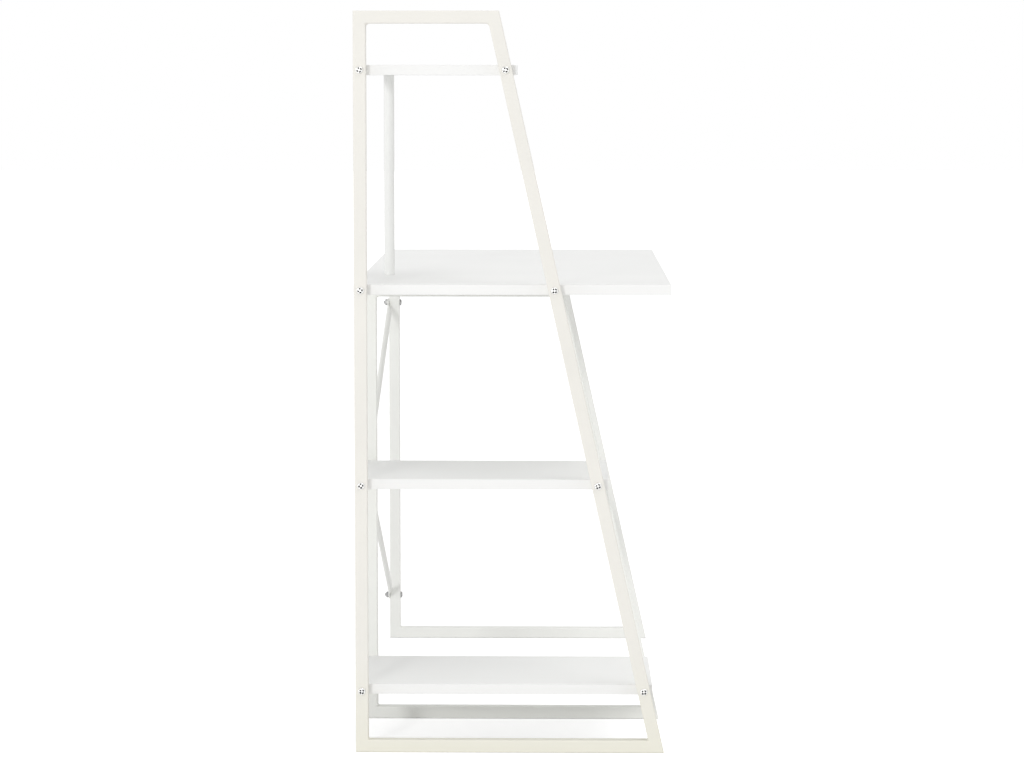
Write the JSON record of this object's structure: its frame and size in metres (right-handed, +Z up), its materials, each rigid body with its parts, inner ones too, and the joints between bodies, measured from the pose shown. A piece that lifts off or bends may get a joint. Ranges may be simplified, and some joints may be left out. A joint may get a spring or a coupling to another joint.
{
  "type": "ladder desk",
  "caption": "White desk with sloping ladder legs, a narrow shelf bay at its left end, a raised top shelf on a round rod, and thin V-shaped stays at the back.",
  "frame": {"origin": "on the floor, at the centre of the desk's footprint", "axes": "+Z up, -Y towards the person who sits at it, +X to that person's right; the tall frame with the shelves is at -X"},
  "size_m": [1.0236, 0.508, 1.17],
  "materials": {
    "white_paint": "satin powder coat, very slightly warm",
    "white_board": "chipboard with a smooth satin melamine face",
    "white_edging": "satin edge band",
    "zinc_hardware": "bright zinc plate"
  },
  "bodies": {
    "root": {"left_rear_post": "white_paint", "left_front_leg": "white_paint", "left_top_bar": "white_paint", "left_bottom_bar": "white_paint", "left_frame_welds": "white_paint", "middle_rear_post": "white_paint", "middle_front_leg": "white_paint", "middle_top_bar": "white_paint", "middle_bottom_bar": "white_paint", "middle_frame_welds": "white_paint", "right_rear_post": "white_paint", "right_front_leg": "white_paint", "right_top_bar": "white_paint", "right_bottom_bar": "white_paint", "right_frame_welds": "white_paint", "desktop": "white_board", "desktop_edge_band": "white_edging", "top_shelf": "white_board", "top_shelf_edge_band": "white_edging", "middle_shelf": "white_board", "middle_shelf_edge_band": "white_edging", "bottom_shelf": "white_board", "bottom_shelf_edge_band": "white_edging", "shelf_rod": "white_paint", "upper_stay": "white_paint", "lower_stay": "white_paint", "left_frame_bolts": "zinc_hardware", "middle_frame_bolts": "zinc_hardware", "barrel_nuts": "zinc_hardware", "desktop_screws": "zinc_hardware", "rod_inserts": "zinc_hardware", "rod_bottom_screw": "zinc_hardware", "rod_top_screw": "zinc_hardware", "stay_bolts": "zinc_hardware", "stay_nuts": "zinc_hardware"}
  },
  "joints": []
}
